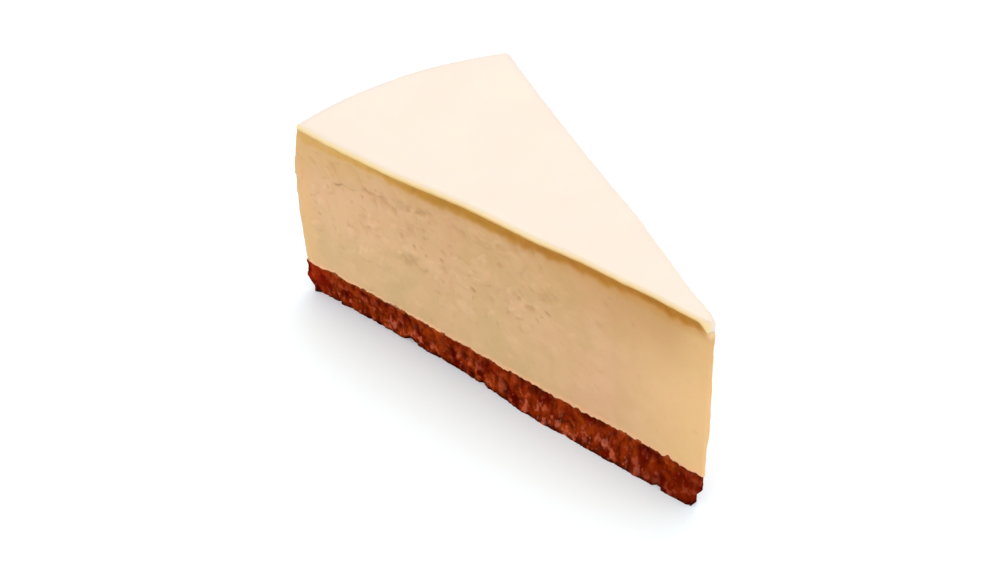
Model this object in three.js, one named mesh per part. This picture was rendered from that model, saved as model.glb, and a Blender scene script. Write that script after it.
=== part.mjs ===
// A slice of baked New York cheesecake, cut from a round cake and standing on its crumb base.
// It is made in the layers that show at the cuts: a base of pressed biscuit crumbs, the baked
// cheese filling on it, and a thin pale top that runs right across the slice.
// Millimetres, +Z up. The tip points to -Y and the cake's outer wall faces +Y. The origin is on
// the underside, below the middle of the slice's box.
import * as THREE from "three";
import { ImprovedNoise } from "three/addons/math/ImprovedNoise.js";

// Driving dimensions of the slice
const CAKE_RADIUS = 114; // a nine-inch cake
const SLICE_ANGLE = THREE.MathUtils.degToRad(28.5);
const SLICE_HEIGHT = 46;
const BASE_HEIGHT = 8.7;
const TOP_HEIGHT = 1.3;
const TIP_Y = -58.9; // the cake's own axis, which the tip of the slice nearly reaches

// Form of the outer wall, where the cake stood against its tin
const WALL_BULGE = 2.1;
const WALL_BULGE_Z = 23.5;
const WALL_BULGE_FALL = 2.8; // how much less it stands out one half-height above or below
const WALL_HALF_HEIGHT = 24;
const WALL_SWELL = 1.5; // how much further it stands out in its middle than at its corners
const BASE_PROUD = 1.35; // the base stands a little out of the cheese above it
const BASE_PROUD_RISE = 0.8; // height over which it comes out, down from its top
const TIN_CORNER = 0.9; // how far the tin's bottom corner drew the foot of the base in
const TIN_CORNER_Z = 5;

// Form of the two cuts
const TIP_BLUNT = 0.5; // distance from the cake's axis to the blunt tip edge
const TIP_CRUMBLED = 1.9; // how much further back the tip of the base has broken off
const TIP_CRUMBLED_Z = [2, 5]; // heights between which that step lies
const GROOVE_HEIGHT = 2.5; // recess that runs along under the overhanging top
const GROOVE_DEPTH = 0.7;
const GROOVE_START = 106; // distance from the tip where it sets in
const GROOVE_FULL = 69; // distance from the tip where it has its whole depth
const GROOVE_FAINT = 0.25; // share of the depth that is there before it sets in
const GROOVE_END = [1, 5]; // distances from the tip between which it runs out
const LIP_OVERHANG = 0.3;
const LIP_RADIUS = 0.7;
const CORNER_DRAW = 0.5; // the cheese's two corners at the wall are rubbed round by this much
const CORNER_LENGTH = 3;
const FAR_FULLNESS = 0.55; // the far cut stands out by this much in its upper part
const FAR_FULLNESS_Z = [14, 20]; // heights between which that sets in
const EDGE_WAVE = { near: 0.7, far: 0.4 }; // slow wander of the knife along the top of the cuts
const EDGE_WAVE_LENGTH = { near: 130, far: 90 };
const EDGE_WAVE_START = { near: 57, far: 102 }; // distance from the tip where it turns outwards
const EDGE_WAVE_FADE = 16; // how far below the top the wander dies out
const EDGE_WAVE_TIP = 18; // and how far from the tip
const EDGE_DENT = 0.75; // the knife dug in by this much at one place of the near cut's top
const EDGE_DENT_START = 42; // distances from the tip where the dent starts, is deepest and ends
const EDGE_DENT_DEEPEST = 62;
const EDGE_DENT_END = 82;
const FOOT_FLARE = 1.25; // the base's near foot stands out towards the tip
const FOOT_UNDERCUT = 0.95; // and draws in towards the wall
const FOOT_TURN = [40, 72]; // distances from the tip between which one gives way to the other

// Surface relief
const CRUMB_SIZE = 2.7;
const CRUMB_RELIEF = 0.8;
const CRUMB_LEVEL = 0.45; // distance from a crumb's centre, in crumb sizes, that lies on the cut
const CHEESE_WAVE_LENGTH = 13;
const CHEESE_RELIEF = 0.35;

// Steps of the meshes, finer where the crumbs show
const BASE_GRID = { cut: 100, wall: 52, height: 8 };
const CHEESE_GRID = { cut: 46, wall: 22, height: 10, groove: 4 };
const LIP_STEPS = [0, 0.4, 0.7, 0.9, 1]; // shares of the way up the rounded lip
const FAN_SHARE = 1 / 6; // share of the slice's length, by the wall, where flat ends are fanned

const HALF_ANGLE = SLICE_ANGLE / 2;
const TOP_Z = SLICE_HEIGHT - TOP_HEIGHT;
const { lerp, smoothstep } = THREE.MathUtils;
const smoothNoise = new ImprovedNoise();

function evenSteps(from, to, steps) {
  return Array.from({ length: steps + 1 }, (_, i) => lerp(from, to, i / steps));
}

// The same pseudo-random number from 0 to 1 each time for one lattice cell
function cellRandom(i, j, k, salt) {
  const wave = Math.sin(i * 127.1 + j * 311.7 + k * 74.7 + salt * 53.3) * 43758.5453;
  return wave - Math.floor(wave);
}

// Rounded lumps of about one crumb each: the height over the nearest of the scattered centres
function crumbRelief(at) {
  const place = at.toArray().map((value) => value / CRUMB_SIZE);
  const cell = place.map(Math.floor);
  let nearest = Infinity;
  for (let n = 0; n < 27; n++) {
    const around = [(n % 3) - 1, (Math.floor(n / 3) % 3) - 1, Math.floor(n / 9) - 1];
    const box = cell.map((value, axis) => value + around[axis]);
    const centre = box.map((value, axis) => value + cellRandom(...box, axis));
    nearest = Math.min(nearest, Math.hypot(...centre.map((value, axis) => value - place[axis])));
  }
  return CRUMB_RELIEF * (CRUMB_LEVEL - nearest);
}

function cheeseRelief(at) {
  return CHEESE_RELIEF * smoothNoise.noise(...at.toArray().map((v) => v / CHEESE_WAVE_LENGTH));
}

// Radius of the outer wall at a height and an angle from the middle of the slice: a shallow
// barrel, tucked in at the tin's bottom corner
function wallRadius(z, angle) {
  const fromBulge = (z - WALL_BULGE_Z) / WALL_HALF_HEIGHT;
  const barrel = WALL_BULGE - WALL_BULGE_FALL * fromBulge * fromBulge;
  const swell = WALL_SWELL * (1 - (angle / HALF_ANGLE) ** 2);
  const corner = TIN_CORNER * (1 - smoothstep(z, 0, TIN_CORNER_Z));
  const proud = BASE_PROUD * (1 - smoothstep(z, BASE_HEIGHT - BASE_PROUD_RISE, BASE_HEIGHT));
  return CAKE_RADIUS + barrel + swell + proud - corner;
}

// Distance from the cake's axis to the blunt tip edge at a height
function tipRadius(z) {
  return TIP_BLUNT + TIP_CRUMBLED * (1 - smoothstep(z, ...TIP_CRUMBLED_Z));
}

// How deep the knife dug in at a distance from the tip
function edgeDent(radius) {
  const fromTip = smoothstep(radius, EDGE_DENT_START, EDGE_DENT_DEEPEST);
  return EDGE_DENT * fromTip * (1 - smoothstep(radius, EDGE_DENT_DEEPEST, EDGE_DENT_END));
}

// How far a cut strays from the ideal slice, by distance from the tip and height: the slow
// wander of its top edge, the dent in the near one, and the fullness of the far cut
function cutStray(side, radius, z) {
  const phase = (2 * Math.PI * (radius - EDGE_WAVE_START[side])) / EDGE_WAVE_LENGTH[side];
  const nearTop = smoothstep(z, SLICE_HEIGHT - EDGE_WAVE_FADE, SLICE_HEIGHT);
  const wave = EDGE_WAVE[side] * Math.sin(phase) * nearTop * smoothstep(radius, 0, EDGE_WAVE_TIP);
  if (side === "near") return wave - edgeDent(radius) * nearTop;
  return wave + FAR_FULLNESS * smoothstep(z, ...FAR_FULLNESS_Z);
}

// How far the cheese draws in where a cut turns into the wall
function cornerDraw(radius) {
  return CORNER_DRAW * smoothstep(radius, CAKE_RADIUS - CORNER_LENGTH, CAKE_RADIUS);
}

// How far each layer's side stands out of the ideal slice at a point of it. side is "far",
// "wall" or "near", and radius is the point's distance from the cake's axis.
function basePush(side, radius, at) {
  const towardsWall = smoothstep(radius, ...FOOT_TURN);
  const foot = side === "near" ? lerp(FOOT_FLARE, -FOOT_UNDERCUT, towardsWall) : 0;
  return foot * (1 - at.z / BASE_HEIGHT) + crumbRelief(at);
}

function fillingPush(side, radius, at) {
  if (side === "wall") return cheeseRelief(at);
  const fromWall = 1 - smoothstep(radius, GROOVE_FULL, GROOVE_START);
  const alongCut = lerp(GROOVE_FAINT, 1, fromWall) * smoothstep(radius, ...GROOVE_END);
  const groove = GROOVE_DEPTH * alongCut * smoothstep(at.z, TOP_Z - GROOVE_HEIGHT, TOP_Z);
  return cheeseRelief(at) + cutStray(side, radius, at.z) - groove - cornerDraw(radius);
}

function topPush(side, radius, at) {
  const climb = Math.max(0, at.z - SLICE_HEIGHT + LIP_RADIUS) / LIP_RADIUS;
  const rounding = LIP_RADIUS * (1 - Math.sqrt(Math.max(0, 1 - climb * climb)));
  if (side === "wall") return cheeseRelief(at) - rounding;
  const out = LIP_OVERHANG + cutStray(side, radius, at.z) - rounding;
  return cheeseRelief(at) + out - cornerDraw(radius);
}

// The plan outline of a layer at one height, counterclockwise from the tip along the far cut,
// round the wall and back along the near cut
function outline(z, grid, push) {
  const plan = (radius, angle) => {
    return new THREE.Vector3(radius * Math.sin(angle), TIP_Y + radius * Math.cos(angle), z);
  };
  const wallReach = (angle) => {
    const radius = wallRadius(z, angle);
    return radius + push("wall", radius, plan(radius, angle));
  };
  const cutPoints = (side, angle) => {
    const turn = Math.sign(angle);
    const outward = new THREE.Vector3(turn * Math.cos(angle), -turn * Math.sin(angle), 0);
    const radii = evenSteps(tipRadius(z), wallReach(angle), grid.cut);
    return radii.map((radius) => {
      const at = plan(radius, angle);
      const deepest = (-radius * Math.sin(HALF_ANGLE)) / 2;
      return at.addScaledVector(outward, Math.max(push(side, radius, at), deepest));
    });
  };
  const wallAngles = evenSteps(HALF_ANGLE, -HALF_ANGLE, grid.wall).slice(1, -1);
  return [
    ...cutPoints("far", HALF_ANGLE),
    ...wallAngles.map((angle) => plan(wallReach(angle), angle)),
    ...cutPoints("near", -HALF_ANGLE).reverse(),
  ];
}

// Triangles of a flat end that faces up: rungs from cut to cut, then a fan inside the wall
function capTriangles(first, count, cutSteps, fanSteps, hub) {
  const triangles = [];
  const rungs = cutSteps - fanSteps;
  const far = (i) => first + i;
  const near = (i) => first + count - 1 - i;
  for (let i = 0; i < rungs; i++) {
    triangles.push([near(i), far(i), far(i + 1)], [near(i), far(i + 1), near(i + 1)]);
  }
  for (let at = far(rungs); at < near(rungs); at++) triangles.push([hub, at, at + 1]);
  triangles.push([hub, near(rungs), far(rungs)]);
  return triangles;
}

// A closed layer of the slice: one outline at each height, joined by bands and two flat ends
function sliceLayer(heights, grid, push) {
  const rings = heights.map((z) => outline(z, grid, push));
  const count = rings[0].length;
  const points = rings.flat();
  const triangles = [];
  for (let level = 0; level + 1 < rings.length; level++) {
    for (let at = 0; at < count; at++) {
      const next = (at + 1) % count;
      const [a, b] = [level * count + at, level * count + next];
      triangles.push([a, b, b + count], [a, b + count, a + count]);
    }
  }
  const fanSteps = Math.round(grid.cut * FAN_SHARE);
  const hubRadius = CAKE_RADIUS * (1 - FAN_SHARE / 2);
  for (const level of [0, rings.length - 1]) {
    const hub = points.push(new THREE.Vector3(0, TIP_Y + hubRadius, heights[level])) - 1;
    const cap = capTriangles(level * count, count, grid.cut, fanSteps, hub);
    triangles.push(...(level ? cap : cap.map((triangle) => triangle.reverse())));
  }
  const geometry = new THREE.BufferGeometry().setFromPoints(points);
  geometry.setIndex(triangles.flat());
  geometry.computeVertexNormals();
  return geometry;
}

function layerMesh(name, geometry, color, roughness) {
  const material = new THREE.MeshStandardMaterial({ color, roughness, metalness: 0 });
  const mesh = new THREE.Mesh(geometry, material);
  mesh.name = name;
  return mesh;
}

// The base: biscuit crumbs pressed together, so its sides are lumpy and its foot is uneven
const crumbBase = sliceLayer(evenSteps(0, BASE_HEIGHT, BASE_GRID.height), BASE_GRID, basePush);

// The filling: level lines, closer together where the groove runs under the top
const GROOVE_Z = TOP_Z - GROOVE_HEIGHT;
const fillingHeights = [
  ...evenSteps(BASE_HEIGHT, GROOVE_Z, CHEESE_GRID.height),
  ...evenSteps(GROOVE_Z, TOP_Z, CHEESE_GRID.groove).slice(1),
];
const filling = sliceLayer(fillingHeights, CHEESE_GRID, fillingPush);

// The top: a thin sheet whose edge overhangs the groove and is rounded over
const lipHeights = LIP_STEPS.map((share) => SLICE_HEIGHT - LIP_RADIUS * (1 - share));
const paleTop = sliceLayer([TOP_Z, ...lipHeights], CHEESE_GRID, topPush);

const slice = new THREE.Group();
slice.add(layerMesh("crumb_base", crumbBase, 0x6e2a12, 0.75));
slice.add(layerMesh("filling", filling, 0xe0b583, 0.55));
slice.add(layerMesh("pale_top", paleTop, 0xfdf0e0, 0.5));

export default slice;
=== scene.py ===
# %% [markdown]
# # A slice of baked New York cheesecake
#
# The slice stands on a base of pressed biscuit crumbs. On it is a thick layer of dense baked
# cheese, and a thin, smooth, pale top runs right across. The solids of the three layers come
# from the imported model, which is the fixed frame: each layer is modelled again here at the same
# place, with the crumbs, pits and knife marks that its solid leaves out.

import math

import bmesh
import bpy
from mathutils import Matrix, Vector, noise


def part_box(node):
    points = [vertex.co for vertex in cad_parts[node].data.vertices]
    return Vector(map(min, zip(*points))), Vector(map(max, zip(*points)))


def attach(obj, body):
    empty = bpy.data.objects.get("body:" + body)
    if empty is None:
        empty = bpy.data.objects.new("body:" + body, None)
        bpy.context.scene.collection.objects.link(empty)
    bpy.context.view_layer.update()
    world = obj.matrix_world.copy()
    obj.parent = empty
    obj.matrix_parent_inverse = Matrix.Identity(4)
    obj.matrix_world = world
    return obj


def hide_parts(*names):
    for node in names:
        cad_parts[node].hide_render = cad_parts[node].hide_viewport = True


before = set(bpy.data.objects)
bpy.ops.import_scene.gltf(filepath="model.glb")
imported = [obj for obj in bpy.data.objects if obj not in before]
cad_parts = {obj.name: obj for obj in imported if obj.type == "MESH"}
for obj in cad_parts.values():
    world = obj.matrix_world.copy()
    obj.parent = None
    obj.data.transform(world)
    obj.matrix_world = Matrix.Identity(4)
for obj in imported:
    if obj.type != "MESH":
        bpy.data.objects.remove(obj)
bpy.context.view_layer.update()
print("nodes in the frame:", sorted(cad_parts))

# %% [markdown]
# ## The sizes that the layers share
#
# A slice is a wedge of a round cake. Its tip lies near the cake's own axis, the two cuts run out
# from there, and the wall is the part of the cake that stood against the tin. So every point of
# it has an easy place: how far it is from the axis, which way from there, and how high. The
# numbers here are the same as those of the solids.

# %% The wedge in numbers
MM = 0.001
CAKE_RADIUS = 114 * MM
HALF_ANGLE = math.radians(28.5) / 2
SLICE_HEIGHT = 46 * MM
BASE_HEIGHT = 8.7 * MM
TOP_HEIGHT = 1.3 * MM
TOP_Z = SLICE_HEIGHT - TOP_HEIGHT
AXIS = Vector((0, -58.9 * MM, 0))
TIP_BLUNT = 0.5 * MM

FAR, NEAR = 1, -1


def smooth(value, low, high):
    """0 below low, 1 above high, and a soft step between them. With high below low it falls."""
    share = min(1.0, max(0.0, (value - low) / (high - low)))
    return share * share * (3 - 2 * share)


def mix(first, second, share):
    return first + (second - first) * share


def around(radius, angle, z):
    """The point at a distance from the cake's axis, at an angle from +Y towards +X."""
    return AXIS + Vector((radius * math.sin(angle), radius * math.cos(angle), z))


for node in ("crumb_base", "filling", "pale_top"):
    low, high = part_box(node)
    print(node, [round((b - a) / MM, 1) for a, b in zip(low, high)], "mm")

# %% [markdown]
# ## The camera
#
# The photograph looks down on one cut of the slice from beside its tip. A camera was fitted to
# the corners of the slice in the picture, which gave its place, its three turns and its focal
# length in pixels. Blender wants the focal length in millimetres on a 36 mm wide sensor.

# %% Set the camera up
PHOTO_WIDTH = 1000
SENSOR_WIDTH = 36
FOCAL_PIXELS = 1629.7
CAMERA_PLACE = Vector((-158.5, -236.8, 226.3)) * MM
CAMERA_HEADING = math.radians(32.37)
CAMERA_DROP = math.radians(35.71)
CAMERA_ROLL = math.radians(-2.03)

camera_data = bpy.data.cameras.new("camera")
camera_data.sensor_width = SENSOR_WIDTH
camera_data.lens = SENSOR_WIDTH * FOCAL_PIXELS / PHOTO_WIDTH
camera_data.clip_start = 10 * MM
camera = bpy.data.objects.new("camera", camera_data)
camera.matrix_world = (
    Matrix.Translation(CAMERA_PLACE)
    @ Matrix.Rotation(-CAMERA_HEADING, 4, "Z")
    @ Matrix.Rotation(math.pi / 2 - CAMERA_DROP, 4, "X")
    @ Matrix.Rotation(CAMERA_ROLL, 4, "Z")
)
bpy.context.scene.collection.objects.link(camera)
bpy.context.scene.camera = camera
print("lens", round(camera_data.lens, 2), "mm")

# %% [markdown]
# ## Writing materials as sums
#
# A material is a graph of nodes, but it is easier to read as arithmetic. Signal wraps one socket
# and turns each sum on it into a Math node.

# %% A signal
class Signal:
    """A number that changes over the surface."""

    def __init__(self, finish, socket):
        self.finish = finish
        self.socket = socket

    def maths(self, operation, *values):
        return self.finish.node("ShaderNodeMath", {"operation": operation}, dict(enumerate(values)))

    def __add__(self, other):
        return self.maths("ADD", self, other)

    def __sub__(self, other):
        return self.maths("SUBTRACT", self, other)

    def __rsub__(self, other):
        return self.maths("SUBTRACT", other, self)

    def __mul__(self, other):
        return self.maths("MULTIPLY", self, other)

    __radd__ = __add__
    __rmul__ = __mul__

    def step(self, low, high):
        """0 below low, 1 above high, soft between."""
        settings = {"interpolation_type": "SMOOTHSTEP"}
        return self.finish.node("ShaderNodeMapRange", settings, {0: self, 1: low, 2: high})


# %% [markdown]
# Finish holds one material and ends in one Principled shader. Its node method makes any node from
# its type, its settings and its inputs. Food takes its colour from many thin causes laid over each
# other, so coats lays one colour after another, each where its own signal says. The places come
# from the Object coordinates and from values stored on the points, so the colours stay put when
# the piece is exported.

# %% A finish
class Finish:
    """One material, built node by node."""

    def __init__(self, name):
        self.material = bpy.data.materials.new(name)
        self.material.use_nodes = True
        self.tree = self.material.node_tree
        self.shader = self.tree.nodes["Principled BSDF"]
        self.place = self.node("ShaderNodeTexCoord", output="Object")

    def node(self, kind, settings=None, inputs=None, output=0):
        made = self.tree.nodes.new(kind)
        for name, value in (settings or {}).items():
            setattr(made, name, value)
        for name, value in (inputs or {}).items():
            if isinstance(value, Signal):
                self.tree.links.new(value.socket, made.inputs[name])
            else:
                made.inputs[name].default_value = value
        return Signal(self, made.outputs[output])

    def drawn(self, name):
        """A value that was stored on the piece's own points."""
        return self.node("ShaderNodeAttribute", {"attribute_name": name}, output="Fac")

    def clouds(self, size, detail, stretch=(1, 1, 1)):
        """Soft noise from 0 to 1 with features of about this size in metres."""
        spread = {"Vector": self.place, "Scale": stretch}
        vector = self.node("ShaderNodeMapping", {"vector_type": "TEXTURE"}, spread)
        values = {"Vector": vector, "Scale": 1 / size, "Detail": detail}
        return self.node("ShaderNodeTexNoise", inputs=values)

    def from_axis(self):
        """How far a point lies from the cake's own axis."""
        moved = self.node("ShaderNodeVectorMath", {"operation": "SUBTRACT"}, {0: self.place, 1: AXIS})
        level = self.node("ShaderNodeVectorMath", {"operation": "MULTIPLY"}, {0: moved, 1: (1, 1, 0)})
        return self.node("ShaderNodeVectorMath", {"operation": "LENGTH"}, {0: level}, output="Value")

    def height(self):
        return self.node("ShaderNodeSeparateXYZ", inputs={0: self.place}, output="Z")

    def tint(self, share, first, second):
        """The first colour where share is 0 and the second where it is 1."""
        factor, a, b = 0, 6, 7  # the colour sockets of a Mix node come after its other ones
        inputs = {factor: share, a: first, b: second}
        return self.node("ShaderNodeMix", {"data_type": "RGBA"}, inputs, output=2)

    def coats(self, ground, *coats):
        """Lay coats over a ground colour, one after the other, each given by its share and colour."""
        for share, coat in coats:
            ground = self.tint(share, ground, coat)
        return ground

    def wear(self, **inputs):
        """Plug values or signals into the shader's own sockets, by name with _ for a space."""
        for name, value in inputs.items():
            socket = self.shader.inputs[name.replace("_", " ")]
            if isinstance(value, Signal):
                self.tree.links.new(value.socket, socket)
            else:
                socket.default_value = value

    def bump(self, height, depth):
        """Relief of this depth in metres, too fine for the mesh."""
        values = {"Height": height, "Distance": depth, "Strength": 1.0}
        self.wear(Normal=self.node("ShaderNodeBump", inputs=values))


def colour(red, green, blue):
    """A colour as it is named on a screen, 0 to 255, as the shader wants it."""
    return tuple(
        (share / 12.92 if share <= 0.04045 else ((share + 0.055) / 1.055) ** 2.4)
        for share in (red / 255, green / 255, blue / 255)
    ) + (1.0,)


# %% [markdown]
# ## Walls swept up from the slice's plan
#
# The cuts carry nearly all the detail, so their meshes are fine, while what lies hidden between
# two layers needs none. An outline of the slice seen from above is drawn with bmesh operators:
# one point is spun through the slice's angle for the wall, and two straight edges to the tip are
# subdivided. The outline is then swept straight up in even steps, and one flat face closes each
# end. Later every point is pushed out or in by the layer's own relief.

# %% Sweep a layer
SHARP_ANGLE = math.radians(40)


def plan_outline(bm, cut_step, wall_step, z):
    """The edges of the slice seen from above, at one height."""
    corner = bm.verts.new(around(CAKE_RADIUS, HALF_ANGLE, z))
    wall_steps = round(2 * HALF_ANGLE * CAKE_RADIUS / wall_step)
    bmesh.ops.spin(
        bm, geom=[corner], cent=AXIS, axis=(0, 0, 1), angle=2 * HALF_ANGLE, steps=wall_steps
    )
    bm.verts.ensure_lookup_table()
    ends = [min(bm.verts, key=lambda v, s=side: -s * v.co.x) for side in (FAR, NEAR)]
    tips = [bm.verts.new(around(TIP_BLUNT, side * HALF_ANGLE, z)) for side in (FAR, NEAR)]
    cuts = [bm.edges.new((tip, end)) for tip, end in zip(tips, ends)]
    bm.edges.new(tips)
    count = round((CAKE_RADIUS - TIP_BLUNT) / cut_step)
    bmesh.ops.subdivide_edges(bm, edges=cuts, cuts=count - 1)


def sweep_up(low, high, cut_step, wall_step, level_step):
    """A closed wedge with fine walls and one plain face at each end."""
    bm = bmesh.new()
    plan_outline(bm, cut_step, wall_step, low)
    levels = round((high - low) / level_step)
    bmesh.ops.spin(
        bm,
        geom=bm.verts[:] + bm.edges[:],
        cent=AXIS,
        axis=(0, 0, 1),
        dvec=(0, 0, (high - low) / levels),
        angle=0,
        steps=levels,
    )
    for z in (low, high):
        rim = [e for e in bm.edges if e.is_boundary and abs(e.verts[0].co.z - z) < level_step / 4]
        bmesh.ops.contextual_create(bm, geom=rim)
    bmesh.ops.recalc_face_normals(bm, faces=bm.faces)
    for face in bm.faces:
        face.smooth = len(face.verts) == 4
    for edge in bm.edges:
        edge.smooth = edge.calc_face_angle() < SHARP_ANGLE
    return bm


# %% [markdown]
# Each mesh becomes one piece, which takes its finish, rides on the slice's only body and stands
# for one solid of the frame.

# %% Make a piece of a mesh
def finish_piece(bm, name, finish, node):
    """Turn the mesh into a piece that stands for one node of the frame."""
    mesh = bpy.data.meshes.new(name)
    bm.to_mesh(mesh)
    bm.free()
    piece = bpy.data.objects.new(name, mesh)
    bpy.context.scene.collection.objects.link(piece)
    piece.data.materials.append(finish.material)
    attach(piece, "root")
    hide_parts(node)
    triangles = sum(len(polygon.vertices) - 2 for polygon in mesh.polygons)
    print(name, triangles, "triangles")


# %% [markdown]
# ## The wall and the tip
#
# The wall bulges like a shallow barrel, the tin drew in the bottom corner of the base, and above
# that corner the base stands a little proud of the cheese. At the tip the foot of the base has
# crumbled away, and the cheese is tucked in just under the top. Both are written as the distance
# from the cake's axis at one height, because that is what the tin and the knife set.

# %% How far out the slice reaches
WALL_BULGE = 2.1 * MM
WALL_BULGE_Z = 23.5 * MM
WALL_BULGE_FALL = 2.8 * MM
WALL_HALF_HEIGHT = 24 * MM
WALL_SWELL = 1.5 * MM
BASE_PROUD = 1.35 * MM
BASE_PROUD_RISE = 0.8 * MM
TIN_CORNER = 0.9 * MM
TIN_CORNER_Z = 5 * MM
TIP_CRUMBLED = 1.9 * MM
TIP_CRUMBLED_Z = (2 * MM, 5 * MM)
TIP_TUCK = 0.9 * MM
TIP_TUCK_Z = (42.8 * MM, 44.3 * MM)


def wall_radius(z, angle):
    from_bulge = (z - WALL_BULGE_Z) / WALL_HALF_HEIGHT
    barrel = WALL_BULGE - WALL_BULGE_FALL * from_bulge * from_bulge
    swell = WALL_SWELL * (1 - (angle / HALF_ANGLE) ** 2)
    corner = TIN_CORNER * (1 - smooth(z, 0, TIN_CORNER_Z))
    proud = BASE_PROUD * (1 - smooth(z, BASE_HEIGHT - BASE_PROUD_RISE, BASE_HEIGHT))
    return CAKE_RADIUS + barrel + swell + proud - corner


def tip_radius(z):
    crumbled = TIP_CRUMBLED * (1 - smooth(z, *TIP_CRUMBLED_Z))
    return TIP_BLUNT + crumbled + TIP_TUCK * smooth(z, *TIP_TUCK_Z)


for name, z in (("foot", 0), ("seam", BASE_HEIGHT), ("bulge", WALL_BULGE_Z), ("top", SLICE_HEIGHT)):
    print(name, "reaches", round(wall_radius(z, 0) / MM, 1), "mm from the axis")

# %% [markdown]
# ## How the two cuts stray
#
# No cut by hand is flat. The knife wandered along both cuts near the top and dug in once along
# the near one. The far cut stands out a little from a third of its height upwards, and both are
# drawn in at the corner where the knife went through the wall. These are slow forms that the
# solids have too, so they are written as the same functions.

# %% The stray of a cut
FAR_FULLNESS = 0.55 * MM
FAR_FULLNESS_Z = (14 * MM, 20 * MM)
EDGE_WAVE = {NEAR: 0.7 * MM, FAR: 0.4 * MM}
EDGE_WAVE_LENGTH = {NEAR: 130 * MM, FAR: 90 * MM}
EDGE_WAVE_START = {NEAR: 57 * MM, FAR: 102 * MM}
EDGE_WAVE_FADE = 16 * MM
EDGE_WAVE_TIP = 18 * MM
EDGE_DENT = 0.75 * MM
EDGE_DENT_START = 42 * MM
EDGE_DENT_DEEPEST = 62 * MM
EDGE_DENT_END = 82 * MM
CORNER_DRAW = 0.5 * MM
CORNER_LENGTH = 3 * MM


def edge_dent(radius):
    """How deep the knife dug in at one place of the near cut."""
    from_tip = smooth(radius, EDGE_DENT_START, EDGE_DENT_DEEPEST)
    return EDGE_DENT * from_tip * (1 - smooth(radius, EDGE_DENT_DEEPEST, EDGE_DENT_END))


def cut_stray(side, radius, z):
    """How far a cut strays from the ideal slice."""
    phase = 2 * math.pi * (radius - EDGE_WAVE_START[side]) / EDGE_WAVE_LENGTH[side]
    near_top = smooth(z, SLICE_HEIGHT - EDGE_WAVE_FADE, SLICE_HEIGHT)
    wave = EDGE_WAVE[side] * math.sin(phase) * near_top * smooth(radius, 0, EDGE_WAVE_TIP)
    if side == NEAR:
        return wave - edge_dent(radius) * near_top
    return wave + FAR_FULLNESS * smooth(z, *FAR_FULLNESS_Z)


def corner_draw(radius, z):
    """How far a cut is drawn in beside the wall."""
    share = max(0.0, 1 - (wall_radius(z, HALF_ANGLE) - radius) / CORNER_LENGTH)
    return CORNER_DRAW * share * share


at_dent = cut_stray(NEAR, EDGE_DENT_DEEPEST, SLICE_HEIGHT)
print("near top edge strays", round(at_dent / MM, 2), "mm at the dent")

# %% [markdown]
# ## Noise for the relief
#
# All relief is drawn from noise, of which there are three kinds here: plain noise for swells,
# cell noise for things that lie apart, such as crumbs and bubbles, and one random value for each
# cell. Bending the place before the noise is read keeps the cells from looking like straight
# tiles. Blender's noise vectors start from the clock unless they are seeded, so a seed is set
# once, and the slice comes out the same each time.

# %% Three kinds of noise
RELIEF_SEED = 3
SLOW_WAVES = ((13, 0.35), (3.5, 0.06))

noise.seed_set(RELIEF_SEED)


def waves(place, lengths_and_depths):
    """Swells added up in metres. The place and each wave's length and depth are in millimetres."""
    return sum(depth * MM * noise.noise(place / length) for length, depth in lengths_and_depths)


def along_line(run, length, row):
    """Noise from about -1 to 1 along one line, with another line for each row."""
    return noise.noise(Vector((run / length, 0, row)))


def bent(place, length, reach):
    """A place moved by up to this reach, in bends of this length."""
    return place + reach * noise.noise_vector(place / length)


def draw_for(centre, stream):
    """A random value from -1 to 1 for the cell at this centre, and another for each stream."""
    return noise.cell(centre * stream)


print("noise vector for this seed", [round(v, 3) for v in noise.noise_vector(Vector((1, 2, 3)))])

# %% [markdown]
# ## The seam between the crumbs and the cheese
#
# The line where the cheese meets the crumbs rises towards the wall and is uneven all along, but
# less so round the wall, where the tin kept the crumbs level. Both layers follow one function of
# the way round the outline, so they always meet, and it fades out a little above and below the
# seam. The two layers lap each other by a fraction of a millimetre there.

# %% The uneven seam
SEAM_RISE = 0.85 * MM
SEAM_RISE_RUN = (20 * MM, 112 * MM)
SEAM_REACH = 1.2 * MM
SEAM_LAP = 0.3 * MM
SEAM_RIPPLES = ((3.1, 0.3), (1.3, 0.4), (0.65, 0.4))
SEAM_ROW = 162.8
SEAM_EVEN = 0.3
SEAM_EVEN_FROM = (103 * MM, 113 * MM)


def outline_run(side, radius, angle):
    """How far a point lies along the outline: up the near cut, round the wall, down the far cut."""
    if side == NEAR:
        return radius
    round_wall = (angle + HALF_ANGLE) * CAKE_RADIUS
    return CAKE_RADIUS + round_wall + (CAKE_RADIUS - radius if side == FAR else 0.0)


def seam_shift(side, radius, angle, z):
    """How far the uneven line between base and filling lies above its mean height."""
    run = Vector((outline_run(side, radius, angle) / MM, 0, SEAM_ROW))
    shift = SEAM_RISE * smooth(radius, *SEAM_RISE_RUN) + waves(run, SEAM_RIPPLES)
    shift *= mix(1, SEAM_EVEN, smooth(radius, *SEAM_EVEN_FROM))
    return shift * min(1.0, max(0.0, 1 + (SEAM_LAP - abs(z - BASE_HEIGHT)) / SEAM_REACH))


print("seam at the wall corner", round(seam_shift(NEAR, CAKE_RADIUS, 0, BASE_HEIGHT) / MM, 2), "mm up")

# %% [markdown]
# ## Moving the points of a swept layer
#
# One function moves every point of both swept layers: first to its slow form, then outwards by
# what the layer's own push function says. Points of a cut move square to the cut, points of the
# wall straight out, and the corner points both ways. A push function also names what a point
# has to remember for its colour, such as how deep it lies, and this is stored on the mesh.

# %% Shape a swept layer
FULLY = 0.9999
TIP_KEEPS = 0.5


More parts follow.
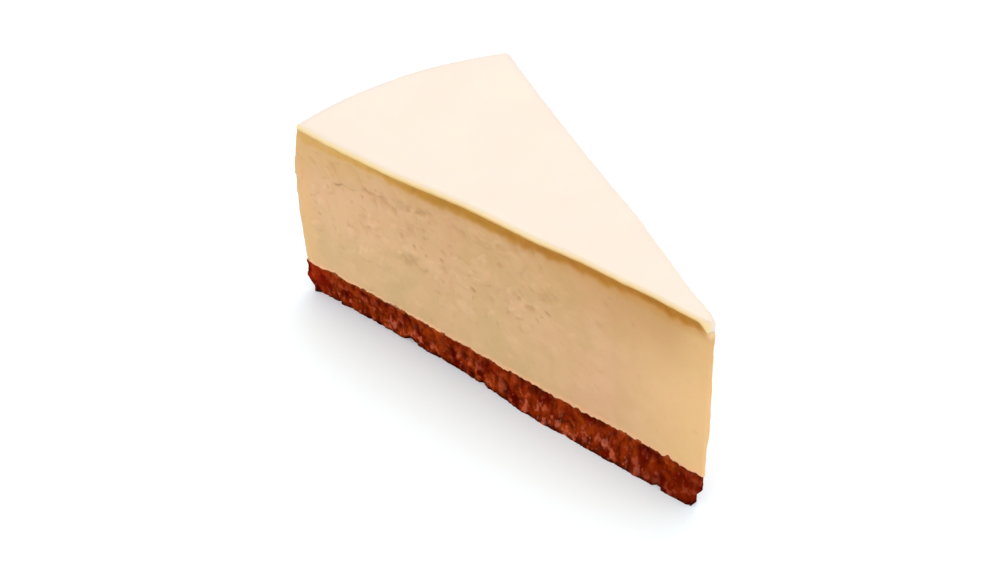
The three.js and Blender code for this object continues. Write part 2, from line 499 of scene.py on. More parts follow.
def shape_walls(bm, push, names):
    """Move each point to where the layer wants it, and store the values that it names."""
    stores = {name: bm.verts.layers.float.new(name) for name in names}
    for vert in bm.verts:
        flat = vert.co - AXIS
        angle = math.atan2(flat.x, flat.y)
        share = (math.hypot(flat.x, flat.y) - TIP_BLUNT) / (CAKE_RADIUS - TIP_BLUNT)
        z = vert.co.z
        radius = mix(tip_radius(z), wall_radius(z, angle), share)
        at = around(radius, angle, z)
        side = math.copysign(1, angle) if abs(angle) >= HALF_ANGLE * FULLY else 0
        remembered = {}
        if not side or share > FULLY:
            out, remembered = push(0, radius, at)
            at += Vector((math.sin(angle), math.cos(angle), 0)) * out
        if side:
            out, remembered = push(side, radius, at)
            outward = Vector((side * math.cos(angle), -side * math.sin(angle), 0))
            at += outward * max(out, -TIP_KEEPS * radius * math.sin(HALF_ANGLE))
        for name, value in remembered.items():
            vert[stores[name]] = value
        at.z += seam_shift(side, radius, angle, z)
        vert.co = at


# %% [markdown]
# ## The cut through the cheese
#
# Baked cheese cuts smooth, but not quite. Air bubbles leave pits that the knife draws out, the
# cheese tears here and there, thin flakes of it are lifted, and one long crooked tear runs under
# the lip towards the wall. All of this is real relief, pushed into the mesh, because a bump alone
# would not change the outline of the marks. The cut is read as a flat picture in millimetres,
# turned a little, since the knife went through it at a slant.

# %% Places on the cut
DRAG_SLANT = math.radians(-22)
CUTS_APART = 40.0


def cut_frame(side, radius, z):
    """The cut as a flat picture in millimetres: along it, up it, and which of the two it is."""
    return Vector((radius / MM, z / MM, CUTS_APART * side))


def stretched(flat, size, layer):
    """A place in noise whose features have this length along the knife's way and this width."""
    length, width = size
    turned = Matrix.Rotation(DRAG_SLANT, 3, "Z") @ flat
    return Vector((turned.x / length, turned.y / width, turned.z + layer))


near_places = [
    cut_frame(NEAR, along * MM, up * MM) for along in range(10, 110, 2) for up in range(12, 44, 2)
]


def coverage(mark, *more):
    """How much there is of a mark on the near cut, on average, in per cent."""
    return round(100 * sum(mark(flat, *more) for flat in near_places) / len(near_places), 1)


print("each mark is measured at", len(near_places), "places")


# %% [markdown]
# A pit is the middle of a cell of the noise, in the cells that a random draw picks, and each has
# its own width. A bend is given by its length and its reach in millimetres.

# %% Pits
PIT_BEND = (1.4, 0.5)
PIT_SIZE = (4.03, 2.325)
PIT_LAYER = 33.0
PIT_WIDTH = (0.16, 0.4)
PIT_FLOOR = 0.2
PIT_CHANCE = (0.05, 0.4)
PIT_DEPTH = 0.36 * MM


def pits(flat):
    """Bubbles, drawn out by the knife: 1 at the middle of a pit, 0 outside it."""
    distances, centres = noise.voronoi(stretched(bent(flat, *PIT_BEND), PIT_SIZE, PIT_LAYER))
    width = mix(*PIT_WIDTH, draw_for(centres[0], 37.3) ** 2)
    there = smooth(draw_for(centres[0], 91.7), *PIT_CHANCE)
    return (1 - smooth(distances[0], PIT_FLOOR * width, width)) * there


print("pits", coverage(pits), "%")


# %% [markdown]
# Torn clumps come in bands along the cut, and more of them where the cut is rough. The long tear
# follows one wandering line. It is wide in places and closed in others.

# %% Tears
TEAR_BEND = (2.6, 0.8)
TEAR_SIZE = (4.8, 2.8)
TEAR_LAYER = 5.0
TEAR_BAND_LENGTH = 26
TEAR_BAND_WIDTH = 8
TEAR_BAND_EDGE = (0.04, 0.3)
TEAR_EDGE = (0.35, 1.1)
TEAR_DEPTH = 0.46 * MM
LONG_TEAR_START = (66, 72)
LONG_TEAR_END = (104, 109)
LONG_TEAR_Z = 38.4
LONG_TEAR_FALL = 3.5
LONG_TEAR_FALL_RUN = (80, 108)
LONG_TEAR_FLOOR = 0.05
LONG_TEAR_WIDTH = (0.35, 0.9)


def tears(flat, rough):
    """Clumps where the cheese tore instead of being sliced, strung out in bands along the cut."""
    torn = noise.fractal(stretched(bent(flat, *TEAR_BEND), TEAR_SIZE, TEAR_LAYER), 1.0, 2.1, 2)
    in_band = Vector((flat.x / TEAR_BAND_LENGTH, flat.y / TEAR_BAND_WIDTH, flat.z + 3))
    band = 1 - smooth(abs(noise.noise(in_band)), *TEAR_BAND_EDGE)
    return smooth(torn + 0.5 * band * rough - 0.35 * (1 - rough), *TEAR_EDGE)


def long_tear(flat):
    """One crooked tear that runs along under the lip towards the wall, closed here and there."""
    line = LONG_TEAR_Z - LONG_TEAR_FALL * smooth(flat.x, *LONG_TEAR_FALL_RUN)
    line += 1.1 * along_line(flat.x, 4.5, 3) + 0.5 * along_line(flat.x, 1.5, 5)
    width = mix(*LONG_TEAR_WIDTH, smooth(along_line(flat.x, 5, 13), 0.1, 0.5))
    parted = smooth(along_line(flat.x, 3.2, 9), -0.2, 0.2)
    ends = smooth(flat.x, *LONG_TEAR_START) * (1 - smooth(flat.x, *LONG_TEAR_END))
    return (1 - smooth(abs(flat.y - line), LONG_TEAR_FLOOR, width)) * parted * ends


print("tears", coverage(tears, 1.0), "% where it is rough, and the long one", coverage(long_tear), "%")


# %% [markdown]
# Flakes are whole cells that stand out by their own amount, with a soft ledge between two of
# them. The difference between a place and one a short step away is stored too: it says which
# side of a ledge is lit and which lies in shade, for a painted highlight and painted shade.

# %% Flakes
FLAKE_BEND = (3.0, 0.9)
FLAKE_SIZE = (3.6, 2.7)
FLAKE_LAYER = 21.0
FLAKE_CHANCE = (0.2, 0.9)
FLAKE_EDGE = 0.4
FLAKE_DEPTH = 0.34 * MM
FLAKE_STEP = Vector((0.3, 0.7, 0))
LEDGE_GAIN = 1.2


def flakes(flat):
    """Thin flakes that the knife lifted: 0 on the even cut, up to 1 where a flake stands out."""
    distances, centres = noise.voronoi(stretched(bent(flat, *FLAKE_BEND), FLAKE_SIZE, FLAKE_LAYER))
    level, beside = (smooth(draw_for(centre, 53.7), *FLAKE_CHANCE) for centre in centres[:2])
    return mix((level + beside) / 2, level, smooth(distances[1] - distances[0], 0, FLAKE_EDGE))


print("flakes", coverage(flakes), "%")


# %% [markdown]
# The cut is roughest in its upper part, and calmer near its foot, near the tip and by the wall.
# Some of each mark stays in the calm parts. The marks are then added up to one depth.

# %% All marks of the cut
ROUGH_Z = (15 * MM, 26 * MM)
ROUGH_START = (12 * MM, 45 * MM)
CALM_WALL = 0.4
CALM_WALL_FROM = (88 * MM, 108 * MM)
CALM_PITS = 0.25
CALM_RIPPLES = 0.35
CALM_FLAKES = {"foot": 0.7, "tip": 0.4}
FLAKY_START = (12 * MM, 60 * MM)
RIPPLE_SIZE = (3.2, 2.2)
RIPPLE_LAYER = 11.0
RIPPLE_DEPTH = 0.03 * MM


def cut_marks(side, flat, radius, z):
    """How deep the marks go at one place of a cut, and what they leave for its colour."""
    upper = smooth(z, *ROUGH_Z)
    rough = upper * smooth(radius, *ROUGH_START)
    rough *= mix(1.0, CALM_WALL, smooth(radius, *CALM_WALL_FROM))
    pit = pits(flat) * mix(CALM_PITS, 1.0, rough)
    tear = tears(flat, rough)
    parted = long_tear(flat) if side == NEAR else 0.0
    ripple = noise.fractal(stretched(flat, RIPPLE_SIZE, RIPPLE_LAYER), 1.0, 2.0, 2)
    ripple *= mix(CALM_RIPPLES, 1.0, rough)
    flaky = mix(CALM_FLAKES["foot"], 1.0, upper) * mix(CALM_FLAKES["tip"], 1.0, smooth(radius, *FLAKY_START))
    flake = flakes(flat) * flaky
    depth = PIT_DEPTH * pit + TEAR_DEPTH * max(tear, parted) + RIPPLE_DEPTH * ripple - FLAKE_DEPTH * flake
    # How much painted shade the pits and tears take in the colour.
    hollow = max(0.9 * pit, 0.5 * tear, parted)
    # The ledge value drives a painted highlight on the lit side of a ledge and painted shade on the other.
    return depth, {"hollow": hollow, "ledge": LEDGE_GAIN * flake - flakes(flat + FLAKE_STEP) * flaky}


depths = [cut_marks(NEAR, flat, flat.x * MM, flat.y * MM)[0] / MM for flat in near_places]
print("marks from", round(min(depths), 2), "to", round(max(depths), 2), "mm deep")


# %% [markdown]
# ## The groove under the lip
#
# Just under the top the cheese has drawn back into a shallow groove. Its deep ochre is partly the
# colour that the cheese baked to and partly painted shade under the lip. The groove is taller
# along the middle of the cut and fades towards the wall and the tip, and its lower edge hangs down
# in soft lobes, for which cell noise along the cut is just right. The colour does not end with the
# hollow: most of it has a firm edge and the rest a long tail.

# %% The groove
TIP_HANG = (0.8 * MM, 3.6 * MM)
MIDDLE_START = (22 * MM, 45 * MM)
MIDDLE_END = (68 * MM, 84 * MM)
MIDDLE_DEEPER = (0.6 * MM, 0.25 * MM)
MIDDLE_TURN = (46 * MM, 56 * MM)
GROOVE_HEIGHT = 2.5 * MM
GROOVE_DEPTH = 0.7 * MM
GROOVE_FULL = 69 * MM
GROOVE_START = 106 * MM
GROOVE_FAINT = 0.25
GROOVE_DEEPEST = 0.45
LOBE_SPACING = 8
LOBE_LEVEL = 0.45
LOBE_DEPTH = 0.9


def middle(radius):
    """1 along the middle of the cut, where the lip hangs lower and the groove is taller."""
    return smooth(radius, *MIDDLE_START) * (1 - smooth(radius, *MIDDLE_END))


def groove_height(flat, radius):
    """How far down from the lip the groove reaches at one place along the cut."""
    lobe = LOBE_LEVEL - noise.voronoi(Vector((flat.x / LOBE_SPACING, 0, flat.z)))[0][0]
    frayed = 0.25 * noise.noise(flat / 5 + Vector((0, 0, 9))) + 0.3 * noise.noise(flat / 1.8)
    deeper = mix(*MIDDLE_DEEPER, smooth(radius, *MIDDLE_TURN)) * middle(radius)
    return GROOVE_HEIGHT * (1 + LOBE_DEPTH * lobe + frayed) + deeper


def groove(height, radius, z):
    """How deep the groove is at one place of the cut."""
    along = mix(GROOVE_FAINT, 1, 1 - smooth(radius, GROOVE_FULL, GROOVE_START))
    along *= smooth(radius, *TIP_HANG)
    return GROOVE_DEPTH * along * smooth(z, TOP_Z - height, TOP_Z - GROOVE_DEEPEST * height)


heights = [groove_height(flat, flat.x * MM) / MM for flat in near_places]
print("groove from", round(min(heights), 1), "to", round(max(heights), 1), "mm tall")


# %% [markdown]
# Its colour, ochre with painted shade, is worked out here as well, since it follows the same lobes.

# %% The shade in the groove
SHADE_PARTS = {"edge": 0.66, "tail": 0.34}
SHADE_EDGE = (-0.5 * MM, 0.8 * MM)
SHADE_TAIL = 2.3 * MM
SHADE_FULL = 0.4
SHADE_FAINT = 0.6
SHADE_FADE = (85 * MM, 112 * MM)


def groove_shade(height, radius, z):
    """How strongly the groove's ochre and painted shade colour one place of the cut, from 0 to 1."""
    low = TOP_Z - height
    shade = SHADE_PARTS["edge"] * smooth(z, low + SHADE_EDGE[0], low + SHADE_EDGE[1])
    shade += SHADE_PARTS["tail"] * smooth(z, low - SHADE_TAIL, TOP_Z - SHADE_FULL * height)
    shade *= mix(SHADE_FAINT, 1, 1 - smooth(radius, *SHADE_FADE))
    return shade * smooth(radius, *TIP_HANG)


# %% [markdown]
# ## The filling's own push
#
# On the wall only the slow swells are left, because that side stood against the tin. On a cut all
# of the above comes together. Three more values are kept for the colour: the groove's ochre with
# its painted shade, a painted highlight just over the seam, and the place at the tip where the top
# hangs down over the cheese.

# %% Push the filling
SEAM_LINE = 1.1 * MM
HANGING_Z = (TOP_Z - 3.5 * MM, TOP_Z - MM)
HANGING_REACH = (0.5 * MM, 2 * MM)


def push_filling(side, radius, at):
    slow = waves(at / MM, SLOW_WAVES)
    if not side:
        return slow, {}
    flat = cut_frame(side, radius, at.z)
    marks, remembered = cut_marks(side, flat, radius, at.z)
    height = groove_height(flat, radius)
    remembered["groove_ochre_and_shade"] = groove_shade(height, radius, at.z)
    # Painted highlight: a light peach line just over the seam.
    remembered["seam"] = 1 - smooth(at.z, BASE_HEIGHT, BASE_HEIGHT + SEAM_LINE)
    remembered["hanging"] = smooth(at.z, *HANGING_Z) * (1 - smooth(radius, *HANGING_REACH))
    hollows = marks + groove(height, radius, at.z) + corner_draw(radius, at.z)
    return slow + cut_stray(side, radius, at.z) - hollows, remembered


# %% [markdown]
# ## The colour of the cheese
#
# The cheese is tan, with soft clouds that lean a little to pink and to green. It is warmer at the
# wall and the tip, and ochre in the groove, where painted shade is laid in with the ochre. Painted
# shade also lies in a broad band under the lip, in the pits and tears and on one side of each
# flake's ledge, with a painted highlight on the other side, and a painted peach highlight lies
# just over the base. Each of these is a coat of colour, so first come the signals that say where
# each one lies.

# %% Where the cheese changes colour
cheese = Finish("baked_cheese")
reach = cheese.from_axis()
height = cheese.height()
broad = cheese.clouds(18 * MM, 2).step(0.35, 0.65)
patches = cheese.clouds(6 * MM, 2).step(0.4, 0.6)
mottle = cheese.clouds(5 * MM, 3).step(0.38, 0.66)
speck = cheese.clouds(1.3 * MM, 4).step(0.6, 0.78)
grain = cheese.clouds(0.45 * MM, 3)
ledge = cheese.drawn("ledge")
ledge_painted_highlight = ledge.step(0.05, 0.8)
ledge_painted_shade = (ledge * -1).step(0.05, 0.8)
by_tip = 1 - reach.step(0, 26 * MM)
by_wall = reach.step(70 * MM, 105 * MM)
wall_corner = reach.step(108 * MM, 115 * MM)
wall_side = reach.step(113.5 * MM, 115.5 * MM)
low_middle = (1 - height.step(16 * MM, 30 * MM)) * reach.step(30 * MM, 50 * MM)
# Painted shade under the lip: a broad band below the groove, with more of it by the wall and the tip.
painted_shade_under_lip = height.step(26 * MM, 43 * MM) * (0.88 - 0.58 * reach.step(12 * MM, 52 * MM))
painted_shade_under_lip = painted_shade_under_lip * (0.35 + 0.65 * reach.step(2 * MM, 11 * MM))
lip_shade_by_wall = reach.step(84 * MM, 103 * MM) * height.step(34 * MM, 41 * MM)
lip_shade_by_tip = (1 - reach.step(20 * MM, 42 * MM)) * height.step(40.5 * MM, 42.5 * MM)

# %% [markdown]
# Light goes some way into cheese, so the shader has subsurface scattering with a radius of a
# millimetre or so, longest in red. The finest grain is a bump, since the mesh is too coarse for
# it.

# %% Finish of the cut cheese
# The groove's colour: partly the cheese's own baked ochre, partly painted shade under the lip.
ochre_and_lip_shade = cheese.coats(
    colour(178, 119, 28),
    (reach.step(38 * MM, 62 * MM), colour(176, 125, 26)),
    (reach.step(64 * MM, 94 * MM), colour(201, 155, 72)),
    (patches * 0.25, colour(196, 132, 48)),
)
tan = cheese.coats(
    cheese.tint(broad, colour(209, 164, 123), colour(199, 161, 113)),
    (by_wall * 0.7, colour(216, 172, 128)),
    (low_middle * 0.6, colour(198, 166, 115)),
    (mottle * 0.3, colour(220, 178, 137)),
    (speck * 0.2, colour(190, 148, 102)),
    (by_tip * 0.8, colour(225, 183, 126)),
    (wall_corner * 0.5, colour(222, 172, 106)),
    (wall_side * 0.5, colour(204, 168, 124)),
    # painted highlight just over the seam
    (cheese.drawn("seam") * 0.8, colour(236, 176, 130)),
    # painted highlight and painted shade on the ledges of the flakes
    (ledge_painted_highlight * 0.16, colour(238, 202, 162)),
    (ledge_painted_shade * 0.24, colour(176, 134, 94)),
    # painted shade in the pits and tears
    (cheese.drawn("hollow") * 0.5, colour(164, 124, 84)),
    # painted shade under the lip, broad, and more of it by the wall and the tip
    (painted_shade_under_lip, colour(188, 143, 88)),
    (lip_shade_by_wall * 0.4, colour(204, 160, 96)),
    (lip_shade_by_tip * 0.28, colour(184, 132, 52)),
    # the groove's ochre with painted shade under the lip
    (cheese.drawn("groove_ochre_and_shade") * 0.95, ochre_and_lip_shade),
    (cheese.drawn("hanging") * 0.8, colour(238, 206, 164)),
)
cheese.wear(
    Base_Color=tan,
    Roughness=0.5 + 0.2 * grain,
    Subsurface_Weight=0.3,
    Subsurface_Radius=(1.0, 0.5, 0.22),
    Subsurface_Scale=1.5 * MM,
    Specular_IOR_Level=0.2,
)
cheese.bump(grain * 0.2 + mottle * 0.3 - speck * 0.4, 0.13 * MM)
print("nodes in the cheese:", len(cheese.tree.nodes))

# %% [markdown]
# The filling is swept from just below the seam up to the top. Its faces are about a third of a
# millimetre on the cuts, which is what the smallest pit needs, and larger round the wall.

# %% Make the filling
bm = sweep_up(
    BASE_HEIGHT - SEAM_LAP, TOP_Z, cut_step=0.29 * MM, wall_step=0.8 * MM, level_step=0.36 * MM
)
shape_walls(bm, push_filling, ("hollow", "groove_ochre_and_shade", "ledge", "hanging", "seam"))
finish_piece(bm, "filling_cheese", cheese, "filling")

# %% [markdown]
# ## The crumb base
#
# Biscuit crumbs were mixed with butter and pressed into the tin. Where the knife went through,
# whole crumbs stand out and gaps are left between them. Cell noise gives just this: each point
# belongs to its nearest crumb centre, stands out the more the closer it is to it, and takes that
# crumb's own tone. Coarser fractal noise on top makes lumps of several crumbs.

# %% Relief of the pressed crumbs
CRUMB_SIZE = 1.8 * MM
CRUMB_BEND = (1.1, 0.6)
CRUMB_UPRIGHT = 0.7
CRUMB_RELIEF = 0.4 * MM
CRUMB_LEVEL = 0.42
CRACK_EDGE = (0.45, 0.95)
LUMP_SIZE = 2.8
LUMP_RELIEF = 0.7 * MM


def crumbs(in_mm):
    """How far the crumbs stand out at a place, with their tone and the cracks between them for painted
    shade.
    """
    place = bent(in_mm, *CRUMB_BEND)
    place.z *= CRUMB_UPRIGHT
    distances, centres = noise.voronoi(place * (MM / CRUMB_SIZE))
    lump = noise.fractal(in_mm / LUMP_SIZE, 0.8, 2.0, 4)
    lift = CRUMB_RELIEF * (CRUMB_LEVEL - distances[0])
    lift += LUMP_RELIEF * (0.5 * lump + 0.3 * (draw_for(centres[0], 11.3) - 0.5))
    tone = draw_for(centres[0], 57.1)
    return lift, {"crumb_tone": tone, "crack": smooth(distances[0] - 0.5 * lump, *CRACK_EDGE)}


lifts = [crumbs(Vector((0, along, 4)))[0] / MM for along in range(100)]
print("crumbs from", round(min(lifts), 2), "to", round(max(lifts), 2), "mm out")


# %% [markdown]
# The foot of the near cut flares out towards the tip and is undercut towards the wall. All round
# the foot crumbs are missing in places, which leaves gaps, painted dark as shade. The relief is
# weaker at the seam and at the floor, and the topmost ring of points is drawn in behind the
# cheese, out of sight.

# %% Push the base
FOOT_FLARE = 1.25 * MM
FOOT_UNDERCUT = 0.95 * MM
FOOT_TURN = (40 * MM, 72 * MM)
FOOT_GAP = 0.8 * MM
FOOT_GAP_Z = (0.3 * MM, 2.4 * MM)
FOOT_GAP_SIZE = 4.5
FOOT_GAP_EDGE = (0.1, 0.7)
FOOT_GAP_ROW = 135.05
RELIEF_AT_ENDS = 0.35
RELIEF_BELOW_SEAM = 1.0 * MM
RELIEF_ABOVE_FLOOR = (-0.5 * MM, 1.5 * MM)
CORNER_DRAW_Z = (4 * MM, 8 * MM)
RING_TUCK = 1.2 * MM


def foot_gaps(in_mm, z):
    """1 where a crumb is missing at the foot, 0 where none is."""
    row = Vector((in_mm.x, in_mm.y, FOOT_GAP_ROW))
    missing = smooth(noise.fractal(row / FOOT_GAP_SIZE, 0.8, 2.2, 3), *FOOT_GAP_EDGE)
    return missing * (1 - smooth(z, *FOOT_GAP_Z))


def push_base(side, radius, at):
    in_mm = at / MM
    lift, remembered = crumbs(in_mm)
    gap = foot_gaps(in_mm, at.z)
    remembered["crack"] = max(remembered["crack"], gap)
    lift -= corner_draw(radius, at.z) * smooth(at.z, *CORNER_DRAW_Z)
    between = smooth(at.z, BASE_HEIGHT, BASE_HEIGHT - RELIEF_BELOW_SEAM)
    between *= smooth(at.z, *RELIEF_ABOVE_FLOOR)
    foot = 0.0
    if side == NEAR:
        foot = mix(FOOT_FLARE, -FOOT_UNDERCUT, smooth(radius, *FOOT_TURN))
    tucked = RING_TUCK if at.z > BASE_HEIGHT + SEAM_LAP / 2 else 0.0
    out = foot * (1 - at.z / BASE_HEIGHT) + lift * mix(RELIEF_AT_ENDS, 1.0, between)
    return out - FOOT_GAP * gap - tucked, remembered


# %% [markdown]
# ## The colour of the crumbs
#
# The crumbs are a strong red brown. Some are paler and show as orange or pinkish lumps, more so
# low down, and the pale specks are partly such crumbs and partly painted glints. The gaps between
# them are painted very dark as shade, and a painted contact shadow runs along the foot. The noise
# is a little taller than wide, like the smears that the knife left.

# %% Where the crumbs change colour
UPRIGHT = (1, 1, 1.4)

crumb = Finish("pressed_crumb")
crumb_height = crumb.height()
crumb_reach = crumb.from_axis()
tone = crumb.drawn("crumb_tone")
grit = crumb.clouds(1.7 * MM, 3, UPRIGHT)
dust = crumb.clouds(1.0 * MM, 2, UPRIGHT)
smear = crumb.clouds(3.2 * MM, 5, UPRIGHT)
stain = crumb.clouds(9 * MM, 3).step(0.4, 0.6)
low_down = 1 - crumb_height.step(2 * MM, 7.5 * MM)
# Pale specks: partly paler crumbs, partly painted glints.
pale_grit_and_glints = grit.step(0.52, 0.66) * mix(0.15, 0.85, low_down)
pale_dust_and_glints = dust.step(0.6, 0.74) * mix(0.15, 0.5, low_down)
dark_grit = 1 - grit.step(0.34, 0.46)
pale_crumb = tone.step(0.84, 0.9) * low_down
under_seam = crumb_height.step(7.7 * MM, 8.9 * MM)
base_by_wall = crumb_reach.step(106 * MM, 114 * MM)
tip_foot = (1 - crumb_reach.step(10 * MM, 24 * MM)) * (1 - crumb_height.step(4 * MM, 7 * MM))
# Painted contact shadow: a dark line along the foot of the base.
foot_contact_shadow = (1 - crumb_height.step(0.2 * MM, 1.3 * MM)) * (1 - grit.step(0.5, 0.65))

# %% [markdown]
# The crumbs are matt and drink the light, so the shader has no gloss at all.

# %% Finish of the crumbs
brown = crumb.coats(
    crumb.tint(smear.step(0.32, 0.66), colour(90, 9, 0), colour(154, 56, 12)),
    (tone.step(0.0, 0.7) * 0.25, colour(120, 22, 4)),
    (stain * 0.35, colour(108, 16, 4)),
    # pale specks, partly paler crumbs and partly painted glints
    (pale_grit_and_glints, colour(192, 90, 60)),
    (pale_dust_and_glints, colour(212, 122, 98)),
    (dark_grit * 0.55, colour(62, 7, 3)),
    (pale_crumb * 0.5, colour(200, 112, 88)),
    # painted shade in the cracks between crumbs and in the gaps at the foot
    (crumb.drawn("crack") * 0.5, colour(48, 8, 4)),
    (under_seam * 0.35, colour(182, 104, 52)),
    (base_by_wall * 0.45, colour(156, 30, 14)),
    (tip_foot * 0.6, colour(98, 14, 1)),
    # painted contact shadow along the foot
    (foot_contact_shadow * 0.7, colour(44, 8, 4)),
)
crumb.wear(Base_Color=brown, Roughness=0.6 + 0.35 * grit, Specular_IOR_Level=0.0)
crumb.bump(grit + dust * 0.5, 0.3 * MM)
print("nodes in the crumbs:", len(crumb.tree.nodes))

# %% [markdown]
# The base is swept from the floor to just above the seam, in steps as high as the lap, so that
# one ring of points lies at the seam itself and the last one above it.

# %% Make the base
bm = sweep_up(0, BASE_HEIGHT + SEAM_LAP, cut_step=0.27 * MM, wall_step=0.34 * MM, level_step=SEAM_LAP)
shape_walls(bm, push_base, ("crumb_tone", "crack"))
finish_piece(bm, "pressed_crumb_base", crumb, "crumb_base")

# %% [markdown]
# ## The pale top
#
# The top is a thin sheet with a rounded lip that hangs a little over the cut. Its upper side is
# seen as a whole, so it needs an even grid and not one big face. A flat strip from the axis out
# to the wall is spun through the slice's angle, which makes a closed solid with such a grid on
# both sides. The levels of the strip are closer together near its upper side, where the lip
# turns over.

# %% Spin the sheet
SHEET_LEVELS = 9
MERGE = 0.001 * MM


def spin_sheet(low, high, radius_steps, angle_steps):
    """A thin wedge with a grid of faces above and below."""
    bm = bmesh.new()
    bmesh.ops.create_grid(bm, x_segments=radius_steps, y_segments=SHEET_LEVELS, size=0.5)
    for vert in bm.verts:
        out, up = vert.co.x + 0.5, vert.co.y + 0.5
        level = mix(low, high, math.sin(up * math.pi / 2))
        vert.co = around(mix(TIP_BLUNT, CAKE_RADIUS, out), HALF_ANGLE, level)
    bmesh.ops.spin(
        bm, geom=bm.faces[:], cent=AXIS, axis=(0, 0, 1), angle=2 * HALF_ANGLE, steps=angle_steps
    )
    bmesh.ops.remove_doubles(bm, verts=bm.verts, dist=MERGE)
    bmesh.ops.recalc_face_normals(bm, faces=bm.faces)
    for face in bm.faces:
        face.smooth = True
    return bm


# %% [markdown]
# ## The lip
#
# The rim of the sheet is drawn in level by level to round the lip. The lip stands out over the
# cut, less so by the wall, and follows the cut's own stray with a fine wobble of its own. Its
# underside is drawn back a little, most of all near the tip, so that a thin line of shade lies
# under it.

# %% How far the lip stands out
LIP_RADIUS = {NEAR: 0.7 * MM, FAR: 0.35 * MM}
LIP_OVERHANG = 0.3 * MM
OVERHANG_FAINT = 0.15
OVERHANG_FADE = (80 * MM, 106 * MM)
FAR_TIP_MORE = 0.7
FAR_TIP_REACH = (4 * MM, 14 * MM)
LIP_UNDERCUT = (0.35 * MM, 0.1 * MM)
LIP_UNDERCUT_TURN = (24 * MM, 52 * MM)
LIP_UNDERCUT_RISE = (0.6 * MM, 0.1 * MM)
LIP_WOBBLE = ((2.6, 0.12), (1.3, 0.06))
LIP_ROW = 7.0


def lip_stray(side, radius, angle, z):
    """Slow swells and a fine wobble of the lip's line."""
    stray = waves(around(radius, angle, z) / MM, SLOW_WAVES[:1])
    for length, depth in LIP_WOBBLE:
        stray += depth * MM * along_line(radius / MM, length, LIP_ROW * side)
    return stray


def lip_overhang(side, radius, z):
    """How far the lip stands out over the cut at one height."""
    past_tip = smooth(radius, *TIP_HANG)
    undercut = smooth(z - TOP_Z, *LIP_UNDERCUT_RISE) * past_tip
    undercut *= mix(*LIP_UNDERCUT, smooth(radius, *LIP_UNDERCUT_TURN))
    stands_out = mix(1.0, OVERHANG_FAINT, smooth(radius, *OVERHANG_FADE))
    if side == FAR:
        stands_out *= 1 + FAR_TIP_MORE * (1 - smooth(radius, *FAR_TIP_REACH))
    return (mix(LIP_OVERHANG / 2, LIP_OVERHANG, past_tip) - undercut) * stands_out


for name, z in (("underside", TOP_Z), ("upper side", SLICE_HEIGHT)):
    print("near lip,", name, round(lip_overhang(NEAR, LIP_UNDERCUT_TURN[0], z) / MM, 2), "mm out")


# %% [markdown]
# Three values are kept for the lip's colour. Over the near cut the turn of the lip has a warm
# tinge, strongest at its lower part. The rim along the far cut and the wall is a little greyer,
# and the foot of the lip takes on the ochre and the painted shade of the groove below it.

# %% What the lip remembers
LIP_TINGE = (0.9 * MM, 0.6 * MM)
LIP_TINGE_TURN = (96 * MM, 108 * MM)
LIP_TINGE_FADE = 0.82
RIM_WIDTH = 0.012
LIP_SHADE_LAP = 0.45 * MM
LIP_SHADE_RISE = {"tip": 1.3 * MM, "middle": 1.1 * MM, "wall": 1.1 * MM}


def lip_values(side, radius, z, climb, across, share):
    tinge = mix(*LIP_TINGE, smooth(radius, *LIP_TINGE_TURN))
    from_edge = min(radius * math.sin(HALF_ANGLE) * (1 - across), radius)
    warm = (1 - LIP_TINGE_FADE * climb ** 2) * max(0.0, 1 - from_edge / tinge)
    grey = 1 - smooth(min(1 - across, 1 - share), 0, RIM_WIDTH)
    rise = mix(LIP_SHADE_RISE["tip"], LIP_SHADE_RISE["wall"], smooth(radius, *MIDDLE_END))
    rise = mix(rise, LIP_SHADE_RISE["middle"], middle(radius))
    return {
        "lip": warm if side == NEAR else 0.0,
        "rim": grey if side == FAR or share > 1 - across else 0.0,
        # painted shade with ochre on the lip's foot
        "under": (1 - smooth(z - TOP_Z, -LIP_SHADE_LAP, rise)) * smooth(radius, *TIP_HANG),
    }


# %% [markdown]
# Each point of the sheet lies a share of the way out to the wall and a share of the way across to
# a cut. The stray of the rim fades towards the middle with the second share, so the sheet is
# stretched and not folded. At the tip the underside hangs down over the cheese, and the upper
# side has a very slight swell.

# %% Shape the sheet
TOP_TIP = 0.9 * MM
TIP_KEEPS_LIP = 0.6
TIP_DRAPE = 1.6 * MM
TIP_DRAPE_REACH = (0.5 * MM, 3.6 * MM)
SWELL = 0.12 * MM
SWELL_SIZE = 17 * MM
SWELL_FADE = 0.1
UPPER_SIDE_Z = SLICE_HEIGHT - 0.01 * MM


def tip_drape(radius, z):
    """How far a point near the tip hangs down: most at the underside, nothing at the top."""
    start, end = TIP_DRAPE_REACH
    drape = min(1.0, max(0.0, (end - radius) / (end - start)))
    return TIP_DRAPE * drape * (1 - (z - TOP_Z) / TOP_HEIGHT)


